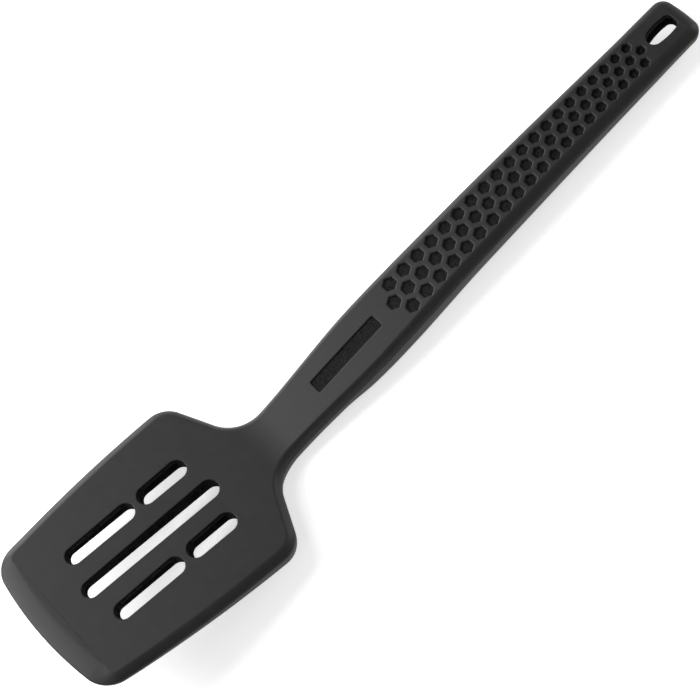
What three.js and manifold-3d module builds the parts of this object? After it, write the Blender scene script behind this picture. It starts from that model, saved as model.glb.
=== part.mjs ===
// A slotted kitchen turner: a stiff core closed in between two silicone mouldings.
// Millimetres. +X runs from the blade's tip to the hanging end, +Y across, +Z up out of the top face.
import * as THREE from 'three';
import { mergeVertices } from 'three/addons/utils/BufferGeometryUtils.js';
import Module from 'manifold-3d';

const wasm = await Module();
wasm.setup();

// Driving dimensions. A station is a length along the top face from the bend between blade and handle:
// negative stations lie on the blade, positive ones on the handle.

// Side profile
const BLADE_LENGTH = 100.75;
const HANDLE_LENGTH = 207.1;
const BLADE_RISE_DEGREES = 12.6;
const NECK_RISE_DEGREES = 4.9;
const BEND_RADIUS = 40;
const HANDLE_ARCH_RADIUS = 1316;
const FRONT_THICKNESS = 3.5;
const NECK_THICKNESS = 8.15;
const NECK_END_STATION = 27;
const BELLY_START_STATION = 40;
const BELLY_END_STATION = 58;
const GRIP_STATION = 95;
const GRIP_LIFT = 1.7;
const GRIP_END_STATION = 178;
const GRIP_END_LIFT = 2.3;
const HANDLE_END_LIFT = 2.9;

// Outline seen from above
const FRONT_EDGE_RADIUS = 140;
const FRONT_CORNER_RADIUS = 11;
const BLADE_HALF_WIDTH = 37.35;
const BLADE_WIDEST_STATION = -18;
const BLADE_SIDE_RADIUS = 515;
const SHOULDER_RADIUS = 9.8;
const SHOULDER_SWEEP_DEGREES = 24.2;
const SHOULDER_ROOT_STATION = -0.75;
const NECK_FILLET_RADIUS = 14.5;
const NECK_HALF_WIDTH = 10.5;
const BELLY_HALF_WIDTH = 12.6;
const BELLY_WIDEST_STATION = 52;
const GRIP_HALF_WIDTH = 11.9;
const HANDLE_END_HALF_WIDTH = 10.2;
const END_EDGE_RADIUS = 70;
const END_CORNER_RADIUS = 4.5;

// Line where the two mouldings meet, as a depth below the top face
const HANDLE_PARTING_DEPTH = 3.05;
const END_PARTING_DEPTH = 2.2;
const BLADE_PARTING_DEPTH = 2.3;
const NOSE_DEPTH = 2;
const LOWER_EDGE_LEAST = 2;

// Rounded edges: reach in from the outline, fullness of the curve (0 is a flat bevel), lean of the wall
const NECK_TOP_EDGE = { inset: 2.7, fullness: 0.75, draft: 0.5 };
const GRIP_TOP_EDGE = { inset: 3.5, fullness: 0.42, draft: 0.3 };
const BLADE_TOP_EDGE = { inset: 3.4, fullness: 0.38, draft: 0.34 };
const FRONT_TOP_EDGE = { inset: 6.9, fullness: 0.25, draft: 0 };
const NECK_LOWER_EDGE = { inset: 2.5, fullness: 0.8, draft: 0.06 };
const GRIP_LOWER_EDGE = { inset: 2.5, fullness: 0.62, draft: 0.06 };
const BLADE_LOWER_EDGE = { inset: 0.7, fullness: 0.7, draft: 0 };
const FRONT_LOWER_EDGE = { inset: 0.9, fullness: 0.7, draft: 0 };
const EDGE_BLEND_HANDLE_STATION = 8;
const EDGE_BLEND_BLADE_STATION = -22;
const FRONT_BLEND_START = 0.35;
const FRONT_BLEND_END = 0.95;

// Slots through the blade
const SLOT_LANE_PITCH = 13.8;
const SLOT_FRONT_WIDTH = 6.2;
const SLOT_REAR_WIDTH = 7.2;
const CENTRE_SLOT_FRONT_STATION = -81.7;
const CENTRE_SLOT_REAR_STATION = -23;
const SIDE_SLOT_FRONT_STATION = -78.4;
const SIDE_SLOT_REAR_STATION = -26.4;
const SIDE_SLOT_BAR_STATION = -48.1;
const SIDE_SLOT_BAR_WIDTH = 2.6;

// Six-sided pockets: three columns that close up and deepen towards the hanging end
const POCKET_SIDES = 6;
const POCKET_FIRST_STATION = 64.2;
const POCKET_COUNT = 21;
const POCKET_FIRST_PITCH = 7;
const POCKET_LAST_PITCH = 5.2;
const POCKET_FIRST_WIDTH = 4.7;
const POCKET_LAST_WIDTH = 3.3;
const POCKET_FIRST_DEPTH = 0.7;
const POCKET_LAST_DEPTH = 1.4;

// Oblong recess on the handle
const RECESS_CENTRE_STATION = 39.9;
const RECESS_LENGTH = 31.5;
const RECESS_WIDTH = 5.4;
const RECESS_CORNER_RADIUS = 0.7;
const RECESS_DEPTH = 0.6;

// Hanging hole
const HOLE_END_MARGIN = 4.5;
const HOLE_LENGTH = 12.3;
const HOLE_WIDTH = 6.6;
const HOLE_END_CORNER_RADIUS = 2.2;

// Core and the silicone round it
const CLEARANCE = 0.3;
const BLADE_SKIN = 1.1;
const HANDLE_TOP_SKIN = 2.3;
const HANDLE_LOWER_SKIN = 1.8;
const HANDLE_SKIN_STATION = 60;
const BLADE_RIM = 5.5;
const FRONT_LIP = 14;
const HANDLE_RIM = 3;
const SLOT_LINING = 1.6;
const EYE_MARGIN = 3;

// Pegs of the lower moulding through the core's keying holes
const PEG_RADIUS = 2.2;
const PEG_ROOT = 0.4;
const HANDLE_PEG_FIRST_STATION = 20;
const HANDLE_PEG_PITCH = 40;
const HANDLE_PEG_COUNT = 5;
const BLADE_PEG_STATIONS = [-76, -27];
const BLADE_PEG_MARGIN = 13.65;

// Fineness of the facets
const FRONT_STEPS = 5;
const CORNER_STEPS = 5;
const BLADE_SIDE_STEPS = 5;
const FILLET_STEPS = 6;
const HANDLE_STEPS = 29;
const END_STEPS = 2;
const EDGE_STEPS = 6;
const SLOT_END_STEPS = 4;
const PEG_SIDES = 10;
const CUT_MARGIN = 3;

const { clamp, degToRad, lerp, mapLinear, smoothstep } = THREE.MathUtils;

const bladeRise = degToRad(BLADE_RISE_DEGREES);
const neckRise = degToRad(NECK_RISE_DEGREES);
const shoulderSweep = degToRad(SHOULDER_SWEEP_DEGREES);

// A smooth curve through a few [station, value] knots that never overshoots them.
function curveThrough(knots) {
  const slopes = knots.map((knot, i) => {
    if (i === 0 || i === knots.length - 1) {
      return 0;
    }
    const before = (knot[1] - knots[i - 1][1]) / (knot[0] - knots[i - 1][0]);
    const after = (knots[i + 1][1] - knot[1]) / (knots[i + 1][0] - knot[0]);
    return before * after > 0 ? (2 * before * after) / (before + after) : 0;
  });
  return (station) => {
    const last = knots.length - 1;
    if (station <= knots[0][0]) {
      return knots[0][1];
    }
    if (station >= knots[last][0]) {
      return knots[last][1];
    }
    const i = knots.findIndex((knot) => knot[0] > station) - 1;
    const span = knots[i + 1][0] - knots[i][0];
    const t = (station - knots[i][0]) / span;
    const rise = knots[i + 1][1] - knots[i][1];
    const cubic = slopes[i] * span * t * (1 - t) ** 2 - slopes[i + 1] * span * t ** 2 * (1 - t);
    return knots[i][1] + rise * t ** 2 * (3 - 2 * t) + cubic;
  };
}

// Side profile

const bendReach = (BEND_RADIUS * (bladeRise + neckRise)) / 2;

// The slope of the top face at a station, in radians, positive where it climbs towards the hanging end.
function slopeAt(station) {
  if (station < -bendReach) {
    return -bladeRise;
  }
  if (station < bendReach) {
    return (station + bendReach) / BEND_RADIUS - bladeRise;
  }
  return neckRise - (station - bendReach) / HANDLE_ARCH_RADIUS;
}

// The top face on the centreline. The heel under the bend rests on Z = 0.
function topPoint(station) {
  const slope = slopeAt(station);
  const bendSlope = clamp(slope, -bladeRise, neckRise);
  const onBend = station < bendReach ? bendSlope : neckRise;
  const point = new THREE.Vector2(
    BEND_RADIUS * Math.sin(onBend),
    NECK_THICKNESS + BEND_RADIUS * (1 - Math.cos(onBend)),
  );
  if (station < -bendReach) {
    const along = station + bendReach;
    point.x += along * Math.cos(slope);
    point.y += along * Math.sin(slope);
  }
  if (station > bendReach) {
    point.x += HANDLE_ARCH_RADIUS * (Math.sin(neckRise) - Math.sin(slope));
    point.y += HANDLE_ARCH_RADIUS * (Math.cos(slope) - Math.cos(neckRise));
  }
  return point;
}

// Height of the handle's underside above the surface that the turner lies on.
const neckUnderside = topPoint(NECK_END_STATION).y - NECK_THICKNESS * Math.cos(slopeAt(NECK_END_STATION));
const undersideAt = curveThrough([
  [NECK_END_STATION, neckUnderside],
  [BELLY_START_STATION, 0],
  [BELLY_END_STATION, 0],
  [GRIP_STATION, GRIP_LIFT],
  [GRIP_END_STATION, GRIP_END_LIFT],
  [HANDLE_LENGTH, HANDLE_END_LIFT],
]);

// Thickness square to the top face: a wedge on the blade, even on the neck, then down to the underside.
function thicknessAt(station) {
  if (station < 0) {
    return NECK_THICKNESS + ((FRONT_THICKNESS - NECK_THICKNESS) * -station) / BLADE_LENGTH;
  }
  if (station < NECK_END_STATION) {
    return NECK_THICKNESS;
  }
  return (topPoint(station).y - undersideAt(station)) / Math.cos(slopeAt(station));
}

// A point given by its station, its distance across and its depth below the top face.
function toSpace(station, across, depth) {
  const top = topPoint(station);
  const slope = slopeAt(station);
  return new THREE.Vector3(top.x + depth * Math.sin(slope), across, top.y - depth * Math.cos(slope));
}

// A frame on the top face: x along the turner, y across, z out of the face.
function frameAt(station, across = 0) {
  const place = toSpace(station, across, 0);
  return new THREE.Matrix4().makeRotationY(-slopeAt(station)).setPosition(place);
}

// Outline

function arcPoints(centre, radius, from, to, steps) {
  return Array.from({ length: steps + 1 }, (_, i) => {
    const angle = from + ((to - from) * i) / steps;
    return new THREE.Vector2(centre.x + radius * Math.cos(angle), centre.y + radius * Math.sin(angle));
  });
}

// Where two circles meet, on the left of the way from the first centre to the second.
function circlesMeet(first, firstRadius, second, secondRadius) {
  const way = second.clone().sub(first);
  const gap = way.length();
  const along = (gap ** 2 + firstRadius ** 2 - secondRadius ** 2) / (2 * gap);
  const aside = Math.sqrt(firstRadius ** 2 - along ** 2);
  way.divideScalar(gap);
  return new THREE.Vector2(
    first.x + way.x * along - way.y * aside,
    first.y + way.y * along + way.x * aside,
  );
}

const angleFrom = (centre, point) => Math.atan2(point.y - centre.y, point.x - centre.x);

// Half of the outline, from the middle of the front edge round the +Y side to the middle of the hanging end.
function halfOutline() {
  // Blade: front edge, front corner, long side and shoulder are arcs tangent to each other.
  const frontCentre = new THREE.Vector2(FRONT_EDGE_RADIUS - BLADE_LENGTH, 0);
  const sideCentre = new THREE.Vector2(BLADE_WIDEST_STATION, BLADE_HALF_WIDTH - BLADE_SIDE_RADIUS);
  const cornerCentre = circlesMeet(
    sideCentre,
    BLADE_SIDE_RADIUS - FRONT_CORNER_RADIUS,
    frontCentre,
    FRONT_EDGE_RADIUS - FRONT_CORNER_RADIUS,
  );
  const frontAngle = angleFrom(frontCentre, cornerCentre);
  const sideFrontAngle = angleFrom(sideCentre, cornerCentre);

  // The rear edge is a straight line swept forward from its root on the centreline.
  const rearAlong = new THREE.Vector2(-Math.sin(shoulderSweep), Math.cos(shoulderSweep));
  const rearOut = new THREE.Vector2(Math.cos(shoulderSweep), Math.sin(shoulderSweep));
  const rearRoot = new THREE.Vector2(SHOULDER_ROOT_STATION, 0);
  const shoulderLine = rearRoot.clone().addScaledVector(rearOut, -SHOULDER_RADIUS);
  const toSide = shoulderLine.clone().sub(sideCentre);
  const reach = BLADE_SIDE_RADIUS - SHOULDER_RADIUS;
  const half = toSide.dot(rearAlong);
  const shoulderStep = -half + Math.sqrt(half ** 2 - toSide.lengthSq() + reach ** 2);
  const shoulderCentre = shoulderLine.clone().addScaledVector(rearAlong, shoulderStep);
  const sideRearAngle = angleFrom(sideCentre, shoulderCentre);

  // The neck fillet touches the rear edge and the side of the neck.
  const filletLine = rearRoot.clone().addScaledVector(rearOut, NECK_FILLET_RADIUS);
  const filletStep = (NECK_HALF_WIDTH + NECK_FILLET_RADIUS - filletLine.y) / rearAlong.y;
  const filletCentre = filletLine.clone().addScaledVector(rearAlong, filletStep);

  // Handle side, then the rounded hanging end.
  const endCentre = new THREE.Vector2(HANDLE_LENGTH - END_EDGE_RADIUS, 0);
  const endCornerAcross = HANDLE_END_HALF_WIDTH - END_CORNER_RADIUS;
  const endCornerReach = Math.sqrt((END_EDGE_RADIUS - END_CORNER_RADIUS) ** 2 - endCornerAcross ** 2);
  const endCornerCentre = new THREE.Vector2(endCentre.x + endCornerReach, endCornerAcross);
  const endAngle = angleFrom(endCentre, endCornerCentre);
  const halfWidthAt = curveThrough([
    [filletCentre.x, NECK_HALF_WIDTH],
    [BELLY_WIDEST_STATION, BELLY_HALF_WIDTH],
    [GRIP_STATION, GRIP_HALF_WIDTH],
    [endCornerCentre.x, HANDLE_END_HALF_WIDTH],
  ]);
  const handleSide = Array.from({ length: HANDLE_STEPS - 1 }, (_, i) => {
    const share = (i + 1) / HANDLE_STEPS;
    const station = lerp(filletCentre.x, endCornerCentre.x, share);
    return new THREE.Vector2(station, halfWidthAt(station));
  });

  const rightAngle = Math.PI / 2;
  return [
    ...arcPoints(frontCentre, FRONT_EDGE_RADIUS, Math.PI, frontAngle, FRONT_STEPS).slice(0, -1),
    ...arcPoints(cornerCentre, FRONT_CORNER_RADIUS, frontAngle, sideFrontAngle, CORNER_STEPS).slice(0, -1),
    ...arcPoints(sideCentre, BLADE_SIDE_RADIUS, sideFrontAngle, sideRearAngle, BLADE_SIDE_STEPS).slice(0, -1),
    ...arcPoints(shoulderCentre, SHOULDER_RADIUS, sideRearAngle, shoulderSweep, CORNER_STEPS),
    ...arcPoints(filletCentre, NECK_FILLET_RADIUS, Math.PI + shoulderSweep, 3 * rightAngle, FILLET_STEPS),
    ...handleSide,
    ...arcPoints(endCornerCentre, END_CORNER_RADIUS, rightAngle, endAngle, CORNER_STEPS).slice(0, -1),
    ...arcPoints(endCentre, END_EDGE_RADIUS, endAngle, 0, END_STEPS),
  ];
}

// The whole outline, anticlockwise from above, with its outward direction at each point.
function wholeOutline() {
  const half = halfOutline();
  const mirrored = half.map((point) => new THREE.Vector2(point.x, -point.y));
  const loop = [...mirrored, ...half.slice(1, -1).reverse()];
  return loop.map((point, i) => {
    const next = loop[(i + 1) % loop.length];
    const before = loop[(i + loop.length - 1) % loop.length];
    const ahead = next.clone().sub(point).normalize();
    const along = point.clone().sub(before).normalize().add(ahead).normalize();
    return { point, out: new THREE.Vector2(along.y, -along.x) };
  });
}

const outline = wholeOutline();

// Edges

// How much of the handle's edge and of the front edge a point of the outline has. The rest is the blade's.
function edgeShares({ point, out }) {
  const front = smoothstep(-out.x, FRONT_BLEND_START, FRONT_BLEND_END);
  const handle = smoothstep(point.x, EDGE_BLEND_BLADE_STATION, EDGE_BLEND_HANDLE_STATION);
  return { handle, front: point.x < BLADE_WIDEST_STATION ? front : 0 };
}

function mixEdges(first, second, share) {
  const mix = (key) => lerp(first[key], second[key], share);
  return { inset: mix('inset'), fullness: mix('fullness'), draft: mix('draft') };
}

function blendEdge(place, handleEdge, bladeEdge, frontEdge) {
  const shares = edgeShares(place);
  return mixEdges(mixEdges(bladeEdge, handleEdge, shares.handle), frontEdge, shares.front);
}

// The handle's edges change from the neck to the grip.
function handleEdgeAt(place, neckEdge, gripEdge) {
  return mixEdges(neckEdge, gripEdge, smoothstep(place.point.x, NECK_END_STATION, GRIP_STATION));
}

function topEdgeAt(place) {
  const handleEdge = handleEdgeAt(place, NECK_TOP_EDGE, GRIP_TOP_EDGE);
  return blendEdge(place, handleEdge, BLADE_TOP_EDGE, FRONT_TOP_EDGE);
}

function lowerEdgeAt(place) {
  const handleEdge = handleEdgeAt(place, NECK_LOWER_EDGE, GRIP_LOWER_EDGE);
  return blendEdge(place, handleEdge, BLADE_LOWER_EDGE, FRONT_LOWER_EDGE);
}

const handlePartingAt = curveThrough([
  [GRIP_END_STATION, HANDLE_PARTING_DEPTH],
  [HANDLE_LENGTH, END_PARTING_DEPTH],
]);

function partingDepthAt(place) {
  const shares = edgeShares(place);
  const side = lerp(BLADE_PARTING_DEPTH, handlePartingAt(place.point.x), shares.handle);
  const deepest = thicknessAt(place.point.x) - LOWER_EDGE_LEAST;
  return lerp(Math.min(side, deepest), NOSE_DEPTH, shares.front);
}

// A point on a rounded edge, as its inset from the outline and its rise from the parting line.
function edgePoint(edge, rise, t) {
  const foot = new THREE.Vector2(0, 0);
  const brow = new THREE.Vector2(edge.inset, rise);
  const corner = new THREE.Vector2(edge.draft * rise, rise);
  const curve = new THREE.CubicBezierCurve(
    foot,
    foot.clone().lerp(corner, edge.fullness),
    brow.clone().lerp(corner, edge.fullness),
    brow,
  );
  return curve.getPoint(t);
}

// Solids

// A closed solid from rings of outline points, lowest ring first.
function ringsToSolid(rings) {
  const count = outline.length;
  const middle = count / 2;
  const positions = rings.flat().flatMap((point) => point.toArray());
  const triangles = [];
  rings.slice(1).forEach((_, ring) => {
    const low = ring * count;
    const high = low + count;
    for (let i = 0; i < count; i += 1) {
      const next = (i + 1) % count;
      triangles.push(low + i, low + next, high + next, low + i, high + next, high + i);
    }
  });
  // The end faces are strips across from each point to its mirror point.
  const across = (i) => (count - i) % count;
  const cover = (base, up) => {
    const face = (a, b, c) => triangles.push(base + a, base + (up ? b : c), base + (up ? c : b));
    for (let i = 0; i < middle; i += 1) {
      if (i + 1 < middle) {
        face(i, i + 1, across(i + 1));
      }
      if (i > 0) {
        face(i, across(i + 1), across(i));
      }
    }
  };
  cover(0, false);
  cover((rings.length - 1) * count, true);
  return new wasm.Manifold(new wasm.Mesh({
    numProp: 3,
    vertProperties: new Float32Array(positions),
    triVerts: new Uint32Array(triangles),
  }));
}

function geometryToSolid(geometry, place) {
  geometry.deleteAttribute('normal');
  geometry.deleteAttribute('uv');
  const merged = mergeVertices(geometry.applyMatrix4(place));
  return new wasm.Manifold(new wasm.Mesh({
    numProp: 3,
    vertProperties: new Float32Array(merged.attributes.position.array),
    triVerts: new Uint32Array(merged.index.array),
  }));
}

function solidToMesh(solid, name, material) {
  const { numProp, vertProperties, triVerts } = solid.getMesh();
  const geometry = new THREE.BufferGeometry();
  geometry.setAttribute('position', new THREE.BufferAttribute(new Float32Array(vertProperties), numProp));
  geometry.setIndex(new THREE.BufferAttribute(new Uint32Array(triVerts), 1));
  geometry.computeVertexNormals();
  const mesh = new THREE.Mesh(geometry, material);
  mesh.name = name;
  return mesh;
}

// A ring of points, with the inset from the outline and the depth at the inset point given for each place.
function ring(shapeAt) {
  return outline.map((place) => {
    const { inset, depthAt } = shapeAt(place);
    const spot = place.point.clone().addScaledVector(place.out, -inset);
    return toSpace(spot.x, spot.y, depthAt(spot.x));
  });
}

const edgeShareSteps = Array.from({ length: EDGE_STEPS + 1 }, (_, i) => i / EDGE_STEPS);

function upperBody() {
  return ringsToSolid(edgeShareSteps.map((t) => ring((place) => {
    const parting = partingDepthAt(place);
    const spot = edgePoint(topEdgeAt(place), parting, t);
    return { inset: spot.x, depthAt: () => parting - spot.y };
  })));
}

function lowerBody() {
  return ringsToSolid([...edgeShareSteps].reverse().map((t) => ring((place) => {
    const start = partingDepthAt(place) + CLEARANCE;
    const rise = thicknessAt(place.point.x) - start;
    const spot = edgePoint(lowerEdgeAt(place), rise, t);
    return { inset: spot.x, depthAt: (station) => lerp(start, thicknessAt(station), spot.y / rise) };
  })));
}

const topSkinAt = curveThrough([[0, BLADE_SKIN], [HANDLE_SKIN_STATION, HANDLE_TOP_SKIN]]);
const lowerSkinAt = curveThrough([[0, BLADE_SKIN], [HANDLE_SKIN_STATION, HANDLE_LOWER_SKIN]]);
const floorDepthAt = (station) => thicknessAt(station) - lowerSkinAt(station);

// The space that the core fills, or the core itself when it is drawn in by the clearance.
function coreBody(drawnIn) {
  const insetAt = (place) => lerp(BLADE_RIM, HANDLE_RIM, edgeShares(place).handle) + drawnIn;
  const body = ringsToSolid([
    ring((place) => ({
      inset: insetAt(place),
      depthAt: (station) => floorDepthAt(station) - drawnIn,
    })),
    ring((place) => ({ inset: insetAt(place), depthAt: (station) => topSkinAt(station) + drawnIn })),
  ]);
  // Both ends are cut square: behind the blade's soft front lip and short of the hanging hole.
  const size = HANDLE_LENGTH;
  const cutOff = (station, way) => {
    const box = new THREE.BoxGeometry(size, size, size).translate((way * size) / 2, 0, 0);
    return geometryToSolid(box, frameAt(station));
  };
  const front = cutOff(FRONT_LIP - BLADE_LENGTH + drawnIn, -1);
  const rear = cutOff(HANDLE_LENGTH - HOLE_END_MARGIN - HOLE_LENGTH - EYE_MARGIN - drawnIn, 1);
  return body.subtract(front).subtract(rear);
}

// A flat shape sunk square into the top face, from above it down to a depth.
function pocketCut(shape, place, depth) {
  const geometry = new THREE.ExtrudeGeometry(shape, {
    depth: depth + CUT_MARGIN,
    bevelEnabled: false,
    curveSegments: SLOT_END_STEPS,
  });
  return geometryToSolid(geometry.translate(0, 0, -depth), place);
}

// A flat shape on the top face, cut straight through along Z, the way the mould opens.
function throughCut(shape, reach, station, across) {
  const slope = slopeAt(station);
  const half = reach * Math.abs(Math.sin(slope)) + thicknessAt(station) + CUT_MARGIN;
  const geometry = new THREE.ExtrudeGeometry(shape, {
    depth: 2 * half,
    bevelEnabled: false,
    curveSegments: SLOT_END_STEPS,
  });
  geometry.translate(0, 0, -half).scale(Math.cos(slope), 1, 1);
  return geometryToSolid(geometry, new THREE.Matrix4().setPosition(toSpace(station, across, 0)));
}

function slotWidthAt(station) {
  return mapLinear(
    station,
    CENTRE_SLOT_FRONT_STATION,
    CENTRE_SLOT_REAR_STATION,
    SLOT_FRONT_WIDTH,
    SLOT_REAR_WIDTH,
  );
}

// A slot with round ends, a little wider at its rear, grown all round by an allowance.
function slot(front, rear, lane, grown) {
  const middle = (front + rear) / 2;
  const frontRadius = slotWidthAt(front) / 2;
  const rearRadius = slotWidthAt(rear) / 2;
  const shape = new THREE.Shape();
  const quarter = Math.PI / 2;
  shape.absarc(front - middle + frontRadius, 0, frontRadius + grown, quarter, 3 * quarter);
  shape.absarc(rear - middle - rearRadius, 0, rearRadius + grown, -quarter, quarter);
  return throughCut(shape, (rear - front) / 2, middle, lane * SLOT_LANE_PITCH);
}

function slots(grown) {
  const bar = SIDE_SLOT_BAR_WIDTH / 2;
  const sideSlots = [-1, 1].flatMap((lane) => [
    slot(SIDE_SLOT_FRONT_STATION, SIDE_SLOT_BAR_STATION - bar, lane, grown),
    slot(SIDE_SLOT_BAR_STATION + bar, SIDE_SLOT_REAR_STATION, lane, grown),
  ]);
  return sideSlots.reduce(
    (sum, one) => sum.add(one),
    slot(CENTRE_SLOT_FRONT_STATION, CENTRE_SLOT_REAR_STATION, 0, grown),
  );
}

// The hanging hole is round towards the grip and squarer towards the end.
function hangingHole() {
  const reach = HOLE_LENGTH / 2;
  const radius = HOLE_WIDTH / 2;
  const corner = HOLE_END_CORNER_RADIUS;
  const quarter = Math.PI / 2;
  const shape = new THREE.Shape();
  shape.absarc(radius - reach, 0, radius, quarter, 3 * quarter);
  shape.absarc(reach - corner, corner - radius, corner, -quarter, 0);
  shape.absarc(reach - corner, radius - corner, corner, 0, quarter);
  return throughCut(shape, reach, HANDLE_LENGTH - HOLE_END_MARGIN - reach, 0);
}

// Six-sided pockets with flats facing along the handle. The outer columns sit half a pitch further on.
function pockets() {
  const ratio = (POCKET_LAST_PITCH / POCKET_FIRST_PITCH) ** (1 / (POCKET_COUNT - 1));
  const stationOf = (step) => {
    const run = Math.abs(ratio - 1) < Number.EPSILON ? step : (1 - ratio ** step) / (1 - ratio);
    return POCKET_FIRST_STATION + POCKET_FIRST_PITCH * run;
  };
  const pocket = (step, column) => {
    const pitch = POCKET_FIRST_PITCH * ratio ** step;
    const along = step / (POCKET_COUNT - 1);
    const width = lerp(POCKET_FIRST_WIDTH, POCKET_LAST_WIDTH, along);
    const depth = lerp(POCKET_FIRST_DEPTH, POCKET_LAST_DEPTH, along);
    const radius = width / 2 / Math.cos(Math.PI / POCKET_SIDES);
    const height = depth + CUT_MARGIN;
    const geometry = new THREE.CylinderGeometry(radius, radius, height, POCKET_SIDES).rotateX(Math.PI / 2);
    geometry.translate(0, 0, height / 2 - depth);
    return geometryToSolid(geometry, frameAt(stationOf(step), (column * pitch * Math.sqrt(3)) / 2));
  };
  const all = [];
  for (let i = 0; i < POCKET_COUNT; i += 1) {
    all.push(pocket(i, 0));
    if (i + 1 < POCKET_COUNT) {
      all.push(pocket(i + 0.5, -1), pocket(i + 0.5, 1));
    }
  }
  return all.reduce((sum, one) => sum.add(one));
}

function oblongRecess() {
  const x = RECESS_LENGTH / 2;
  const y = RECESS_WIDTH / 2;
  const corner = RECESS_CORNER_RADIUS;
  const quarter = Math.PI / 2;
  const shape = new THREE.Shape();
  shape.absarc(corner - x, corner - y, corner, 2 * quarter, 3 * quarter);
  shape.absarc(x - corner, corner - y, corner, -quarter, 0);
  shape.absarc(x - corner, y - corner, corner, 0, quarter);
  shape.absarc(corner - x, y - corner, corner, quarter, 2 * quarter);
  return pocketCut(shape, frameAt(RECESS_CENTRE_STATION), RECESS_DEPTH);
}

const bladePegOffset = BLADE_HALF_WIDTH - BLADE_PEG_MARGIN;
const pegPlaces = [
  ...Array.from({ length: HANDLE_PEG_COUNT }, (_, i) => [HANDLE_PEG_FIRST_STATION + i * HANDLE_PEG_PITCH, 0]),
  ...BLADE_PEG_STATIONS.flatMap((station) => [[station, -bladePegOffset], [station, bladePegOffset]]),
];

// Round pegs square to the top face, between two depths worked out at each peg's station.
function pegs(radius, topDepthAt, footDepthAt) {
  return pegPlaces
    .map(([station, across]) => {
      const top = topDepthAt(station);
      const height = footDepthAt(station) - top;
      const geometry = new THREE.CylinderGeometry(radius, radius, height, PEG_SIDES).rotateX(Math.PI / 2);
      geometry.translate(0, 0, -top - height / 2);
      return geometryToSolid(geometry, frameAt(station, across));
    })
    .reduce((sum, one) => sum.add(one));
}

const hollow = coreBody(0).subtract(slots(SLOT_LINING));
const openings = slots(0).add(hangingHole());
const lowerPegs = pegs(
  PEG_RADIUS,
  (station) => topSkinAt(station) + CLEARANCE,
  (station) => floorDepthAt(station) + PEG_ROOT,
);
const keyingHoles = pegs(
  PEG_RADIUS + CLEARANCE,
  (station) => topSkinAt(station) - CUT_MARGIN,
  (station) => floorDepthAt(station) + CUT_MARGIN,
);

const core = coreBody(CLEARANCE).subtract(slots(SLOT_LINING + CLEARANCE)).subtract(keyingHoles);
const lowerSkin = lowerBody().subtract(hollow).add(lowerPegs).subtract(openings);
const sunkShapes = pockets().add(oblongRecess());
const upperSkin = upperBody().subtract(hollow).subtract(openings).subtract(sunkShapes);

const silicone = () => new THREE.MeshStandardMaterial({ color: 0x2e2e2f, roughness: 0.72, metalness: 0 });
const nylon = new THREE.MeshStandardMaterial({ color: 0x1c1c1d, roughness: 0.55, metalness: 0 });

const turner = new THREE.Group();
turner.add(
  solidToMesh(core, 'core', nylon),
  solidToMesh(lowerSkin, 'lower_skin', silicone()),
  solidToMesh(upperSkin, 'upper_skin', silicone()),
);

// The origin is under the middle of the turner, on the surface that it lies on.
const box = new THREE.Box3().setFromObject(turner);
turner.position.set(-(box.min.x + box.max.x) / 2, 0, -box.min.z);

export default turner;
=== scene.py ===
"""The looks of a slotted silicone turner: fine skins, their silicone, a camera and plain studio light."""

import math
from collections import namedtuple

import bmesh
import bpy
import numpy as np
from mathutils import Matrix, Vector


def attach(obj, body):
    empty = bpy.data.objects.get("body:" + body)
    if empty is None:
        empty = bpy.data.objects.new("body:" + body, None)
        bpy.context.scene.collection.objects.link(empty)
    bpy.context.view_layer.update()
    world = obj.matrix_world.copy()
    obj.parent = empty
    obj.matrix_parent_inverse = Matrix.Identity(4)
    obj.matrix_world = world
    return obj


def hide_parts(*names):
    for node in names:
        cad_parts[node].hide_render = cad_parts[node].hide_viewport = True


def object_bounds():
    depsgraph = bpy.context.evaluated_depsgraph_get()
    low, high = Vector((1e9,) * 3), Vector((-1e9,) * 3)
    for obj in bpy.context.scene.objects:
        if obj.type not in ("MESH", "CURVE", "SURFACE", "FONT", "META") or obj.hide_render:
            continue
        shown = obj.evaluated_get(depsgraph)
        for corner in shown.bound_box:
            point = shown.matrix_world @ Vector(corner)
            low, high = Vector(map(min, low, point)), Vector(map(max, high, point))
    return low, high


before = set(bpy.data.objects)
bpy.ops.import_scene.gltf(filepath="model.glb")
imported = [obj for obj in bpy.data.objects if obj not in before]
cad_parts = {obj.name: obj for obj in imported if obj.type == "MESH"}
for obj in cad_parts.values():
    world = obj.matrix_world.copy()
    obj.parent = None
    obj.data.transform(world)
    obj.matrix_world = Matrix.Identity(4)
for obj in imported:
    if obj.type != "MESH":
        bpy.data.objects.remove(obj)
cad_low, cad_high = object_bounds()

MM = 0.001

# Sizes in millimetres. A station is a length along the top face from the bend between blade and handle:
# negative stations lie on the blade, positive ones on the handle.

# Side profile
BLADE_LENGTH = 100.75
HANDLE_LENGTH = 207.1
BLADE_RISE = math.radians(12.6)
NECK_RISE = math.radians(4.9)
BEND_RADIUS = 40
HANDLE_ARCH_RADIUS = 1316
FRONT_THICKNESS = 3.5
NECK_THICKNESS = 8.15
NECK_END_STATION = 27
BELLY_START_STATION = 40
BELLY_END_STATION = 58
GRIP_STATION = 95
GRIP_LIFT = 1.7
GRIP_END_STATION = 178
GRIP_END_LIFT = 2.3
HANDLE_END_LIFT = 2.9

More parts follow.
